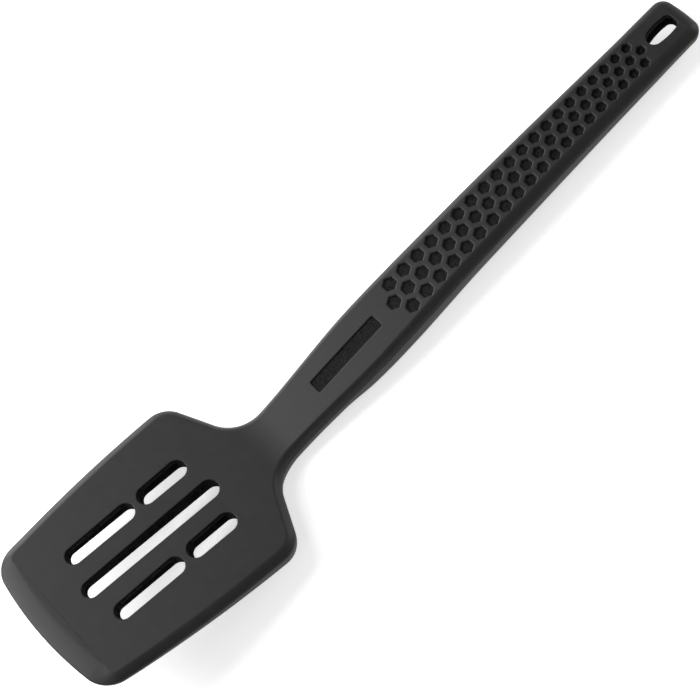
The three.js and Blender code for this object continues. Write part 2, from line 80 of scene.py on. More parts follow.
# Outline seen from above
FRONT_EDGE_RADIUS = 140
FRONT_CORNER_RADIUS = 11
BLADE_HALF_WIDTH = 37.35
BLADE_WIDEST_STATION = -18
BLADE_SIDE_RADIUS = 515
SHOULDER_RADIUS = 9.8
SHOULDER_SWEEP = math.radians(24.2)
SHOULDER_ROOT_STATION = -0.75
NECK_FILLET_RADIUS = 14.5
NECK_HALF_WIDTH = 10.5
BELLY_HALF_WIDTH = 12.6
BELLY_WIDEST_STATION = 52
GRIP_HALF_WIDTH = 11.9
HANDLE_END_HALF_WIDTH = 10.2
END_EDGE_RADIUS = 70
END_CORNER_RADIUS = 4.5

# Rounded edges: reach in from the outline, fullness of the curve (0 is a flat bevel), lean of the wall
Edge = namedtuple("Edge", "inset fullness draft")
NECK_TOP_EDGE = Edge(2.7, 0.75, 0.5)
GRIP_TOP_EDGE = Edge(3.5, 0.42, 0.3)
BLADE_TOP_EDGE = Edge(3.4, 0.38, 0.34)
FRONT_TOP_EDGE = Edge(6.9, 0.25, 0)
NECK_LOWER_EDGE = Edge(2.5, 0.8, 0.06)
GRIP_LOWER_EDGE = Edge(2.5, 0.62, 0.06)
BLADE_LOWER_EDGE = Edge(0.7, 0.7, 0)
FRONT_LOWER_EDGE = Edge(0.9, 0.7, 0)
EDGE_BLEND_HANDLE_STATION = 8
EDGE_BLEND_BLADE_STATION = -22

# How far forward the outline has to face for its edge to begin to turn into the front edge, and to be it
FRONT_BLEND_START = 0.35
FRONT_BLEND_END = 0.95

# Parting line between the two mouldings: its depth below the top face, its gap and its broken edges
HANDLE_PARTING_DEPTH = 3.05
END_PARTING_DEPTH = 2.2
BLADE_PARTING_DEPTH = 2.3
NOSE_DEPTH = 2
LOWER_EDGE_LEAST = 2
PARTING_GAP = 0.05
PARTING_BREAK = 0.08
CORE_CLEARANCE = 0.3

# Slots through the blade, each from a front station to a rear one
SLOT_LANE_PITCH = 13.8
SLOT_FRONT_WIDTH = 6.2
SLOT_REAR_WIDTH = 7.2
CENTRE_SLOT = (-81.7, -23)
SIDE_SLOT = (-78.4, -26.4)
SIDE_SLOT_BAR_STATION = -48.1
SIDE_SLOT_BAR_WIDTH = 2.6
SLOT_RIM = 0.5
SLOT_TAPER = 0.35
UNDERSIDE_RIM = 0.25

# Six-sided pockets: three columns that close up and deepen towards the hanging end
POCKET_SIDES = 6
POCKET_FIRST_STATION = 64.2
POCKET_COUNT = 21
POCKET_FIRST_PITCH = 7
POCKET_LAST_PITCH = 5.2
POCKET_FIRST_WIDTH = 4.7
POCKET_LAST_WIDTH = 3.3
POCKET_FIRST_DEPTH = 0.7
POCKET_LAST_DEPTH = 1.4
POCKET_CORNER_RADIUS = 0.35
POCKET_RIM = 0.6
POCKET_RIM_DROP = 0.35
POCKET_FLOOR_RADIUS = 0.25
POCKET_LEAN = 0.25

# Oblong recess on the handle, left bare
RECESS_CENTRE_STATION = 39.9
RECESS_LENGTH = 31.5
RECESS_WIDTH = 5.4
RECESS_CORNER_RADIUS = 0.7
RECESS_DEPTH = 0.6
RECESS_RIM = 0.45
RECESS_RIM_DROP = 0.2
RECESS_FLOOR_RADIUS = 0.15
RECESS_LEAN = 0.06

# Hanging hole, which a taper below zero widens downwards
HOLE_END_MARGIN = 4.7
HOLE_LENGTH = 12.4
HOLE_WIDTH = 6.15
HOLE_BULGE = 0.3
HOLE_END_CORNER_RADIUS = 2
HOLE_RIM = 0.4
HOLE_TAPER = -0.35

# Fineness of the meshes
FRONT_STEPS = 26
CORNER_STEPS = 18
BLADE_SIDE_STEPS = 46
REAR_EDGE_STEPS = 8
FILLET_STEPS = 26
HANDLE_STEPS = 130
END_STEPS = 8
EDGE_STEPS = 12
RIM_STEPS = 5
FLOOR_STEPS = 3
SLOT_END_STEPS = 20
SLOT_SIDE_STEPS = 24
HOLE_CORNER_STEPS = 8
HOLE_SIDE_STEPS = 12
POCKET_CORNER_STEPS = 3
RIM_REACH = math.radians(74)
RIM_LIFT = 0.05
SMOOTH_LIMIT = math.radians(38)
UNDERSIDE_SAMPLES = 1200
WELD_DISTANCE = 0.001

# Bands of faces, counted from the lowest, that take a second material: painted shade on the foot's rim, the
# wall and the lower part of the top rim of an opening, and the dull finish on the rounded foot and the wall
# of a pocket
OPENING_PAINTED_SHADE_BANDS = 2 * RIM_STEPS
POCKET_DARK_BANDS = FLOOR_STEPS + 1

QUARTER = math.pi / 2


def lerp(a, b, share):
    return a + (b - a) * share


def smoothstep(value, low, high):
    t = np.clip((value - low) / (high - low), 0, 1)
    return t * t * (3 - 2 * t)


def curve_through(knots):
    """A smooth curve through a few (station, value) knots that never overshoots them."""
    x, y = np.array(knots, float).T
    secant = np.diff(y) / np.diff(x)
    slope = np.zeros(len(x))
    for i in range(1, len(x) - 1):
        before, after = secant[i - 1], secant[i]
        if before * after > 0:
            slope[i] = 2 * before * after / (before + after)

    def value_at(station):
        s = np.clip(station, x[0], x[-1])
        i = np.clip(np.searchsorted(x, s, side="right") - 1, 0, len(x) - 2)
        span = x[i + 1] - x[i]
        t = (s - x[i]) / span
        lean = slope[i] * span * t * (1 - t) ** 2 - slope[i + 1] * span * t**2 * (1 - t)
        return y[i] + (y[i + 1] - y[i]) * t**2 * (3 - 2 * t) + lean

    return value_at


# Curves of the side profile

BEND_REACH = BEND_RADIUS * (BLADE_RISE + NECK_RISE) / 2


def slope_at(station):
    """Slope of the top face, positive where it climbs towards the hanging end."""
    on_bend = (station + BEND_REACH) / BEND_RADIUS - BLADE_RISE
    on_handle = NECK_RISE - (station - BEND_REACH) / HANDLE_ARCH_RADIUS
    return np.where(station < BEND_REACH, np.maximum(on_bend, -BLADE_RISE), on_handle)


def top_line(station):
    """x and z of the top face on the centreline. The heel under the bend rests on z = 0."""
    slope = slope_at(station)
    on_bend = np.where(station < BEND_REACH, slope, NECK_RISE)
    along_blade = np.minimum(station + BEND_REACH, 0)
    on_handle = np.where(station > BEND_REACH, slope, NECK_RISE)
    x = BEND_RADIUS * np.sin(on_bend) + along_blade * math.cos(BLADE_RISE)
    x = x + HANDLE_ARCH_RADIUS * (math.sin(NECK_RISE) - np.sin(on_handle))
    z = NECK_THICKNESS + BEND_RADIUS * (1 - np.cos(on_bend)) - along_blade * math.sin(BLADE_RISE)
    z = z + HANDLE_ARCH_RADIUS * (np.cos(on_handle) - math.cos(NECK_RISE))
    return x, z


neck_underside = top_line(NECK_END_STATION)[1] - NECK_THICKNESS * math.cos(slope_at(NECK_END_STATION))
handle_underside_at = curve_through([
    (NECK_END_STATION, neck_underside),
    (BELLY_START_STATION, 0),
    (BELLY_END_STATION, 0),
    (GRIP_STATION, GRIP_LIFT),
    (GRIP_END_STATION, GRIP_END_LIFT),
    (HANDLE_LENGTH, HANDLE_END_LIFT),
])


def thickness_at(station):
    """Thickness square to the top face: a wedge on the blade, even on the neck, then to the underside."""
    blade = NECK_THICKNESS + (FRONT_THICKNESS - NECK_THICKNESS) * -np.minimum(station, 0) / BLADE_LENGTH
    handle = (top_line(station)[1] - handle_underside_at(station)) / np.cos(slope_at(station))
    return np.where(station < NECK_END_STATION, blade, handle)


def to_space(station, across, depth):
    """Points given by station, distance across and depth square to the top face."""
    x, z = top_line(station)
    slope = slope_at(station)
    place = np.broadcast_arrays(x + depth * np.sin(slope), across, z - depth * np.cos(slope))
    return np.stack(place, axis=-1)


underside_stations = np.linspace(-BLADE_LENGTH, HANDLE_LENGTH, UNDERSIDE_SAMPLES)
underside_line = to_space(underside_stations, 0, thickness_at(underside_stations))


def underside_below(x):
    return np.interp(x, underside_line[:, 0], underside_line[:, 2])


# Outline

def arc(centre, radius, start, end, steps):
    angle = np.linspace(start, end, steps + 1)
    return np.stack([centre[0] + radius * np.cos(angle), centre[1] + radius * np.sin(angle)], axis=-1)


def circles_meet(first, first_radius, second, second_radius):
    """Where two circles meet, on the left of the way from the first centre to the second."""
    way = second - first
    gap = np.linalg.norm(way)
    way = way / gap
    along = (gap**2 + first_radius**2 - second_radius**2) / (2 * gap)
    aside = math.sqrt(first_radius**2 - along**2)
    return first + way * along + np.array([-way[1], way[0]]) * aside


def angle_from(centre, point):
    return math.atan2(point[1] - centre[1], point[0] - centre[0])


def half_outline():
    """Half of the outline, from the front edge's middle round the +Y side to the hanging end's middle."""
    front_centre = np.array([FRONT_EDGE_RADIUS - BLADE_LENGTH, 0.0])
    side_centre = np.array([BLADE_WIDEST_STATION, BLADE_HALF_WIDTH - BLADE_SIDE_RADIUS], float)
    corner_centre = circles_meet(
        side_centre,
        BLADE_SIDE_RADIUS - FRONT_CORNER_RADIUS,
        front_centre,
        FRONT_EDGE_RADIUS - FRONT_CORNER_RADIUS,
    )
    front_angle = angle_from(front_centre, corner_centre)
    side_front_angle = angle_from(side_centre, corner_centre)

    # The rear edge is a straight line swept forward from its root on the centreline.
    rear_along = np.array([-math.sin(SHOULDER_SWEEP), math.cos(SHOULDER_SWEEP)])
    rear_out = np.array([math.cos(SHOULDER_SWEEP), math.sin(SHOULDER_SWEEP)])
    rear_root = np.array([SHOULDER_ROOT_STATION, 0.0])
    shoulder_line = rear_root - rear_out * SHOULDER_RADIUS
    to_side = shoulder_line - side_centre
    half = to_side @ rear_along
    reach = BLADE_SIDE_RADIUS - SHOULDER_RADIUS
    shoulder_step = math.sqrt(half**2 - to_side @ to_side + reach**2) - half
    shoulder_centre = shoulder_line + rear_along * shoulder_step
    side_rear_angle = angle_from(side_centre, shoulder_centre)

    # The neck fillet touches the rear edge and the side of the neck.
    fillet_line = rear_root + rear_out * NECK_FILLET_RADIUS
    fillet_step = (NECK_HALF_WIDTH + NECK_FILLET_RADIUS - fillet_line[1]) / rear_along[1]
    fillet_centre = fillet_line + rear_along * fillet_step

    # Handle side, then the rounded hanging end.
    end_centre = np.array([HANDLE_LENGTH - END_EDGE_RADIUS, 0.0])
    corner_across = HANDLE_END_HALF_WIDTH - END_CORNER_RADIUS
    corner_reach = math.sqrt((END_EDGE_RADIUS - END_CORNER_RADIUS) ** 2 - corner_across**2)
    end_corner_centre = end_centre + np.array([corner_reach, corner_across])
    end_angle = angle_from(end_centre, end_corner_centre)
    half_width_at = curve_through([
        (fillet_centre[0], NECK_HALF_WIDTH),
        (BELLY_WIDEST_STATION, BELLY_HALF_WIDTH),
        (GRIP_STATION, GRIP_HALF_WIDTH),
        (end_corner_centre[0], HANDLE_END_HALF_WIDTH),
    ])
    handle_stations = np.linspace(fillet_centre[0], end_corner_centre[0], HANDLE_STEPS + 1)[1:-1]

    shoulder = arc(shoulder_centre, SHOULDER_RADIUS, side_rear_angle, SHOULDER_SWEEP, CORNER_STEPS)
    fillet = arc(fillet_centre, NECK_FILLET_RADIUS, math.pi + SHOULDER_SWEEP, 3 * QUARTER, FILLET_STEPS)
    rear_edge = np.linspace(shoulder[-1], fillet[0], REAR_EDGE_STEPS + 1)[1:-1]
    return np.concatenate([
        arc(front_centre, FRONT_EDGE_RADIUS, math.pi, front_angle, FRONT_STEPS)[:-1],
        arc(corner_centre, FRONT_CORNER_RADIUS, front_angle, side_front_angle, CORNER_STEPS)[:-1],
        arc(side_centre, BLADE_SIDE_RADIUS, side_front_angle, side_rear_angle, BLADE_SIDE_STEPS)[:-1],
        shoulder,
        rear_edge,
        fillet,
        np.stack([handle_stations, half_width_at(handle_stations)], axis=-1),
        arc(end_corner_centre, END_CORNER_RADIUS, QUARTER, end_angle, CORNER_STEPS)[:-1],
        arc(end_centre, END_EDGE_RADIUS, end_angle, 0, END_STEPS),
    ])


def whole_outline():
    """The closed outline, anticlockwise from above, and its outward direction at each point."""
    half = half_outline()
    points = np.concatenate([half * [1, -1], half[-2:0:-1]])
    ahead = np.roll(points, -1, axis=0) - points
    ahead /= np.linalg.norm(ahead, axis=1, keepdims=True)
    along = ahead + np.roll(ahead, 1, axis=0)
    along /= np.linalg.norm(along, axis=1, keepdims=True)
    return points, np.stack([along[:, 1], -along[:, 0]], axis=-1)


outline, outward = whole_outline()

# Edges

on_front = outline[:, 0] < BLADE_WIDEST_STATION
tip_share = smoothstep(-outward[:, 0], FRONT_BLEND_START, FRONT_BLEND_END) * on_front
handle_share = smoothstep(outline[:, 0], EDGE_BLEND_BLADE_STATION, EDGE_BLEND_HANDLE_STATION)
grip_share = smoothstep(outline[:, 0], NECK_END_STATION, GRIP_STATION)


def mix_edges(first, second, share):
    return Edge(*[lerp(a, b, share) for a, b in zip(first, second)])


def blend_edge(handle, blade, front):
    """The edge at each point of the outline, out of those on the handle, the blade and the front edge."""
    return mix_edges(mix_edges(blade, handle, handle_share), front, tip_share)


parting_knots = [(GRIP_END_STATION, HANDLE_PARTING_DEPTH), (HANDLE_LENGTH, END_PARTING_DEPTH)]
handle_parting_at = curve_through(parting_knots)
side_parting = lerp(BLADE_PARTING_DEPTH, handle_parting_at(outline[:, 0]), handle_share)
side_parting = np.minimum(side_parting, thickness_at(outline[:, 0]) - LOWER_EDGE_LEAST)
parting_depth = lerp(side_parting, NOSE_DEPTH, tip_share)


def edge_curve(edge, rise, t):
    """Inset and rise from the parting line along a rounded edge, at a share t of its curve."""
    corner = edge.draft * rise
    inset = 3 * t * (1 - t) ** 2 * corner * edge.fullness
    inset = inset + 3 * t**2 * (1 - t) * lerp(edge.inset, corner, edge.fullness) + t**3 * edge.inset
    height = 3 * t * (1 - t) ** 2 * rise * edge.fullness + (3 * t**2 * (1 - t) + t**3) * rise
    return inset, height


def inset_outline(inset):
    return outline - outward * np.reshape(inset, (-1, 1))


def ring(flat, depth):
    """A ring in space from flat points, given by station and distance across, at a depth."""
    return to_space(flat[:, 0], flat[:, 1], depth)


def upper_rings():
    """Rings of the upper moulding: the broken edge at the parting line, then up round its top edge."""
    handle_edge = mix_edges(NECK_TOP_EDGE, GRIP_TOP_EDGE, grip_share)
    edge = blend_edge(handle_edge, BLADE_TOP_EDGE, FRONT_TOP_EDGE)
    start = parting_depth - PARTING_BREAK
    rings = [ring(inset_outline(PARTING_BREAK), parting_depth)]
    for t in np.linspace(0, 1, EDGE_STEPS + 1):
        inset, height = edge_curve(edge, start, t)
        rings.append(ring(inset_outline(inset), start - height))
    return rings


def lower_rings():
    """Rings of the lower moulding: up round its lower edge, then the broken edge at the parting line."""
    handle_edge = mix_edges(NECK_LOWER_EDGE, GRIP_LOWER_EDGE, grip_share)
    edge = blend_edge(handle_edge, BLADE_LOWER_EDGE, FRONT_LOWER_EDGE)
    top = parting_depth + PARTING_GAP
    start = top + PARTING_BREAK
    rise = thickness_at(outline[:, 0]) - start
    rings = [ring(inset_outline(PARTING_BREAK), top)]
    for t in np.linspace(0, 1, EDGE_STEPS + 1):
        inset, height = edge_curve(edge, rise, t)
        flat = inset_outline(inset)
        rings.append(ring(flat, lerp(start, thickness_at(flat[:, 0]), height / rise)))
    return rings[::-1]


upper_stack = upper_rings()
lower_stack = lower_rings()
body_low = np.min(upper_stack + lower_stack, axis=(0, 1))
body_high = np.max(upper_stack + lower_stack, axis=(0, 1))
centre_x = (body_low[0] + body_high[0]) / 2
origin = np.array([centre_x - (cad_low.x + cad_high.x) / 2 / MM, 0, body_low[2]])


# Meshes

def mesh_object(name, points, faces):
    mesh = bpy.data.meshes.new(name)
    mesh.from_pydata((points - origin) * MM, [], faces)
    made = bpy.data.objects.new(name, mesh)
    bpy.context.scene.collection.objects.link(made)
    return made


def wall_faces(ring_count, size):
    faces = []
    for low in range(0, (ring_count - 1) * size, size):
        for i in range(size):
            after = (i + 1) % size
            faces.append((low + i, low + after, low + size + after, low + size + i))
    return faces


def moulding(name, rings):
    """A closed body from rings of outline points, lowest first, with its faces in strips across."""
    size = len(outline)
    faces = wall_faces(len(rings), size)
    top = (len(rings) - 1) * size
    for i in range(size // 2):
        quad = [i, (i + 1) % size, (size - i - 1) % size, (size - i) % size]
        strip = list(dict.fromkeys(quad))
        faces.append([top + k for k in strip])
        faces.append(strip[::-1])
    return mesh_object(name, np.concatenate(rings), faces)


def ring_stacks(name, stacks, finish, foot_finish_and_painted_shade, foot_bands):
    """Closed solids in one mesh, each a stack of equal rings with flat ends, lowest ring first.

    The flat foot and the lowest bands of faces above it take the foot's material: the dull finish in a
    pocket, painted shade on the walls of an opening.
    """
    points, faces, is_foot, first = [], [], [], 0
    for rings in stacks:
        size = len(rings[0])
        solid = [list(range(size))[::-1], *wall_faces(len(rings), size)]
        solid.append([(len(rings) - 1) * size + i for i in range(size)])
        faces += [[first + k for k in face] for face in solid]
        is_foot += [i <= foot_bands * size for i in range(len(solid))]
        points += rings
        first += size * len(rings)
    made = mesh_object(name, np.concatenate(points), faces)
    made.data.materials.append(finish)
    made.data.materials.append(foot_finish_and_painted_shade)
    made.data.polygons.foreach_set("material_index", np.array(is_foot, int))

    # The flat ends follow the arch only if they are split into even triangles.
    shape = bmesh.new()
    shape.from_mesh(made.data)
    bmesh.ops.triangulate(shape, faces=shape.faces, ngon_method="BEAUTY")
    shape.to_mesh(made.data)
    shape.free()
    return made


def rim_profile(rim, drop):
    """A rounded rim of a width and a drop, from above the face to the wall, as (growth, depth) steps."""
    reach = np.linspace(RIM_REACH, 0, RIM_STEPS + 1)
    growth = rim * (1 - np.cos(reach))
    depth = drop * (1 - np.sin(reach))
    run = (depth[0] + RIM_LIFT) * math.tan(RIM_REACH) * rim / drop
    return [(growth[0] + run, -RIM_LIFT), *zip(growth, depth)]


def pocket_profile(rim, depth, floor, lean):
    """A pocket from its rim down a leaning wall to a rounded foot and a flat floor."""
    foot = np.linspace(0, QUARTER, FLOOR_STEPS + 1)
    growth = -lean - floor * (1 - np.cos(foot))
    return [*rim, *zip(growth, depth - floor * (1 - np.sin(foot)))]


def sunk(shape_at, profile, station, across):
    """A stack of rings square to the top face. shape_at(growth) gives an outline round its own middle."""
    rings = []
    for growth, depth in profile[::-1]:
        shape = shape_at(growth)
        rings.append(to_space(station + shape[:, 0], across + shape[:, 1], depth))
    return rings


def through(shape_at, rim, taper, station, across):
    """A stack of rings down through both faces, with a rounded rim on each and drawn in by a taper below."""
    top, foot = [], []
    for growth, depth in rim_profile(rim, rim):
        shape = shape_at(growth)
        x, z = top_line(station + shape[:, 0])
        top.append(np.stack([x, across + shape[:, 1], z - depth], axis=-1))
    for growth, depth in rim_profile(UNDERSIDE_RIM, UNDERSIDE_RIM):
        shape = shape_at(growth - taper)
        x = top_line(station + shape[:, 0])[0]
        foot.append(np.stack([x, across + shape[:, 1], underside_below(x) + depth], axis=-1))
    return foot + top[::-1]


# Shapes of the cuts, each anticlockwise round its own middle and grown by an allowance

def slot_width_at(station):
    share = (station - CENTRE_SLOT[0]) / (CENTRE_SLOT[1] - CENTRE_SLOT[0])
    return lerp(SLOT_FRONT_WIDTH, SLOT_REAR_WIDTH, share)


def slot_shape(front, rear):
    middle = (front + rear) / 2
    front_radius = slot_width_at(front) / 2
    rear_radius = slot_width_at(rear) / 2

    def shape_at(growth):
        front_centre = (front - middle + front_radius, 0)
        rear_centre = (rear - middle - rear_radius, 0)
        front_end = arc(front_centre, front_radius + growth, QUARTER, 3 * QUARTER, SLOT_END_STEPS)
        rear_end = arc(rear_centre, rear_radius + growth, -QUARTER, QUARTER, SLOT_END_STEPS)
        right = np.linspace(front_end[-1], rear_end[0], SLOT_SIDE_STEPS + 1)[1:-1]
        left = np.linspace(rear_end[-1], front_end[0], SLOT_SIDE_STEPS + 1)[1:-1]
        return np.concatenate([front_end, right, rear_end, left])

    return shape_at


def rounded_corners(corners, radius, turn, steps, growth):
    """A closed shape from corner centres and the direction at which each corner's arc begins."""
    arcs = [arc(centre, radius + growth, start, start + turn, steps) for centre, start in corners]
    return np.concatenate(arcs)


def pocket_shape(width):
    """A six-sided shape with flats facing along the handle."""
    turn = 2 * math.pi / POCKET_SIDES
    reach = (width / 2 - POCKET_CORNER_RADIUS) / math.cos(turn / 2)
    middles = [turn * (i + 0.5) for i in range(POCKET_SIDES)]
    corners = [((reach * math.cos(a), reach * math.sin(a)), a - turn / 2) for a in middles]
    return lambda growth: rounded_corners(corners, POCKET_CORNER_RADIUS, turn, POCKET_CORNER_STEPS, growth)


def recess_shape(growth):
    x = RECESS_LENGTH / 2 - RECESS_CORNER_RADIUS
    y = RECESS_WIDTH / 2 - RECESS_CORNER_RADIUS
    corners = [((x, y), 0), ((-x, y), QUARTER), ((-x, -y), 2 * QUARTER), ((x, -y), 3 * QUARTER)]
    shape = rounded_corners(corners, RECESS_CORNER_RADIUS, QUARTER, HOLE_CORNER_STEPS, growth)
    first, second, third, fourth = np.split(shape, len(corners))
    left = np.linspace(first[-1], second[0], SLOT_SIDE_STEPS + 1)[1:-1]
    right = np.linspace(third[-1], fourth[0], SLOT_SIDE_STEPS + 1)[1:-1]
    return np.concatenate([first, left, second, third, right, fourth])


def bulging_side(start, end, bulge):
    """The points between two ends of a side that swells by a bulge at its middle."""
    share = np.linspace(0, 1, HOLE_SIDE_STEPS + 1)[1:-1]
    side = lerp(start, end, share[:, None])
    side[:, 1] += 4 * share * (1 - share) * bulge
    return side


def hole_shape(growth):
    """Round towards the grip, squarer towards the end and bulging a little in between."""
    half = HOLE_LENGTH / 2
    radius = HOLE_WIDTH / 2
    corner = HOLE_END_CORNER_RADIUS
    round_end = arc((radius - half, 0), radius + growth, QUARTER, 3 * QUARTER, 2 * HOLE_CORNER_STEPS)
    end = half - corner
    across = radius - corner
    right_corner = arc((end, -across), corner + growth, -QUARTER, 0, HOLE_CORNER_STEPS)
    left_corner = arc((end, across), corner + growth, 0, QUARTER, HOLE_CORNER_STEPS)
    right = bulging_side(round_end[-1], right_corner[0], -HOLE_BULGE)
    left = bulging_side(left_corner[-1], round_end[0], HOLE_BULGE)
    return np.concatenate([round_end, right, right_corner, left_corner, left])


def opening_stacks():
    bar = SIDE_SLOT_BAR_WIDTH / 2
    places = [(*CENTRE_SLOT, 0)]
    for lane in (-1, 1):
        places.append((SIDE_SLOT[0], SIDE_SLOT_BAR_STATION - bar, lane))
        places.append((SIDE_SLOT_BAR_STATION + bar, SIDE_SLOT[1], lane))
    stacks = [
        through(slot_shape(front, rear), SLOT_RIM, SLOT_TAPER, (front + rear) / 2, lane * SLOT_LANE_PITCH)
        for front, rear, lane in places
    ]
    hole_station = HANDLE_LENGTH - HOLE_END_MARGIN - HOLE_LENGTH / 2
    stacks.append(through(hole_shape, HOLE_RIM, HOLE_TAPER, hole_station, 0))
    return stacks


def pocket_stacks():
    """Three columns of pockets, the outer two half a pitch further on."""
    ratio = (POCKET_LAST_PITCH / POCKET_FIRST_PITCH) ** (1 / (POCKET_COUNT - 1))
    rim = rim_profile(POCKET_RIM, POCKET_RIM_DROP)
    steps = [(i, 0) for i in range(POCKET_COUNT)]
    steps += [(i + 0.5, column) for i in range(POCKET_COUNT - 1) for column in (-1, 1)]
    stacks = []
    for step, column in steps:
        pitch = POCKET_FIRST_PITCH * ratio**step
        station = POCKET_FIRST_STATION + POCKET_FIRST_PITCH * (1 - ratio**step) / (1 - ratio)
        share = step / (POCKET_COUNT - 1)
        width = lerp(POCKET_FIRST_WIDTH, POCKET_LAST_WIDTH, share)
        depth = lerp(POCKET_FIRST_DEPTH, POCKET_LAST_DEPTH, share)
        profile = pocket_profile(rim, depth, POCKET_FLOOR_RADIUS, POCKET_LEAN)
        stacks.append(sunk(pocket_shape(width), profile, station, column * pitch * math.sqrt(3) / 2))
    return stacks


def recess_stack():
    rim = rim_profile(RECESS_RIM, RECESS_RIM_DROP)
    profile = pocket_profile(rim, RECESS_DEPTH, RECESS_FLOOR_RADIUS, RECESS_LEAN)
    return sunk(recess_shape, profile, RECESS_CENTRE_STATION, 0)


# Cutting

def core_space(material):
    """The space that the core fills, a clearance larger than the core all round."""
    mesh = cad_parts["core"].data.copy()
    mesh.materials.clear()
    mesh.materials.append(material)
    space = bpy.data.objects.new("core_space", mesh)
    bpy.context.scene.collection.objects.link(space)
    shape = bmesh.new()
    shape.from_mesh(mesh)
    bmesh.ops.remove_doubles(shape, verts=shape.verts, dist=WELD_DISTANCE * MM)
    shape.normal_update()
    for vertex in shape.verts:
        vertex.co += vertex.normal * vertex.calc_shell_factor() * CORE_CLEARANCE * MM
    shape.to_mesh(mesh)
    shape.free()
    return space


def cut(piece, cutters):
    """Cuts the cutters out of a piece and keeps the result as its mesh."""
    for cutter in cutters:
        modifier = piece.modifiers.new("cut", "BOOLEAN")
        modifier.operation = "DIFFERENCE"
        modifier.solver = "MANIFOLD"
        modifier.material_mode = "TRANSFER"
        modifier.object = cutter
    graph = bpy.context.evaluated_depsgraph_get()
    mesh = bpy.data.meshes.new_from_object(piece.evaluated_get(graph))
    piece.modifiers.clear()
    piece.data = mesh


def smooth(piece):
    piece.data.shade_smooth()
    piece.data.set_sharp_from_angle(angle=SMOOTH_LIMIT)
    normals = piece.modifiers.new("even_normals", "WEIGHTED_NORMAL")
    normals.keep_sharp = True


def dress(piece, node):
    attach(piece, "root")
    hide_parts(node)


# Materials

def node_setter(material):
    tree = material.node_tree

    def add(kind, **settings):
        node = tree.nodes.new(kind)
        for key, value in settings.items():
            if key in node.inputs:
                node.inputs[key].default_value = value
            else:
                setattr(node, key, value)
        return node

    return add, tree.links.new


# Finishes of the silicone, the last one painted shade: tones, roughness, specular level, and its noise in
# millimetres
Finish = namedtuple("Finish", "dark light smooth rough specular mottle_size grain_size grain_height")
SATIN = Finish(0.016, 0.02, 0.44, 0.56, 0.4, 5, 0.6, 0.06)
DULL = Finish(0.008, 0.025, 0.8, 0.9, 0.05, 0.9, 0.5, 0.2)
# Painted shade: the walls of the slots and the hole are coloured near black, darker than the silicone itself
PAINTED_WALL_SHADE = Finish(0.003, 0.006, 0.7, 0.8, 0.05, 3, 0.6, 0.06)
SILICONE_IOR = 1.43
MOTTLE_DETAIL = 5
MOTTLE_ROUGHNESS = 0.62
MOTTLE_RANGE = (0.3, 0.7)
GRAIN_DETAIL = 4
GRAIN_ROUGHNESS = 0.6
GRAIN_STRENGTH = 0.35

# Nylon of the core
NYLON_TONES = (0.009, 0.016)
NYLON_ROUGHNESS = 0.45
FIBRE_SCALE = 900
FIBRE_DETAIL = 5


def grey(tone):
    return (tone, tone, tone, 1)


def silicone(name, finish):
    """Black silicone with a moulded grain and a little mottling."""
    material = bpy.data.materials.new(name)
    material.use_nodes = True
    add, link = node_setter(material)
    shader = material.node_tree.nodes["Principled BSDF"]
    shader.inputs["IOR"].default_value = SILICONE_IOR
    shader.inputs["Specular IOR Level"].default_value = finish.specular
    place = add("ShaderNodeTexCoord")

    mottle = add(
        "ShaderNodeTexNoise",
        Scale=1 / (finish.mottle_size * MM),
        Detail=MOTTLE_DETAIL,
        Roughness=MOTTLE_ROUGHNESS,
    )
    link(place.outputs["Object"], mottle.inputs["Vector"])
    tone = add("ShaderNodeValToRGB")
    for stop, position, value in zip(tone.color_ramp.elements, MOTTLE_RANGE, (finish.dark, finish.light)):
        stop.position = position
        stop.color = grey(value)
    link(mottle.outputs["Fac"], tone.inputs["Fac"])
    link(tone.outputs["Color"], shader.inputs["Base Color"])

    sheen = add("ShaderNodeMapRange")
    sheen.inputs["To Min"].default_value = finish.smooth
    sheen.inputs["To Max"].default_value = finish.rough
    link(mottle.outputs["Fac"], sheen.inputs["Value"])
    link(sheen.outputs["Result"], shader.inputs["Roughness"])

    grain = add(
        "ShaderNodeTexNoise",
        Scale=1 / (finish.grain_size * MM),
        Detail=GRAIN_DETAIL,
        Roughness=GRAIN_ROUGHNESS,
    )
    link(place.outputs["Object"], grain.inputs["Vector"])
    bump = add("ShaderNodeBump", Strength=GRAIN_STRENGTH, Distance=finish.grain_height * MM)
    link(grain.outputs["Fac"], bump.inputs["Height"])
    link(bump.outputs["Normal"], shader.inputs["Normal"])
    return material


def nylon():
    """Glass-filled nylon of the core, closed in by the silicone."""
    material = bpy.data.materials.new("core_nylon")
    material.use_nodes = True
    add, link = node_setter(material)
    shader = material.node_tree.nodes["Principled BSDF"]
    shader.inputs["Roughness"].default_value = NYLON_ROUGHNESS
    place = add("ShaderNodeTexCoord")
    fibre = add("ShaderNodeTexNoise", Scale=FIBRE_SCALE, Detail=FIBRE_DETAIL)
    link(place.outputs["Object"], fibre.inputs["Vector"])
    tone = add("ShaderNodeValToRGB")
    for stop, value in zip(tone.color_ramp.elements, NYLON_TONES):
        stop.color = grey(value)
    link(fibre.outputs["Fac"], tone.inputs["Fac"])
    link(tone.outputs["Color"], shader.inputs["Base Color"])
    return material


# Stage, in metres, with the lamps' power in watts

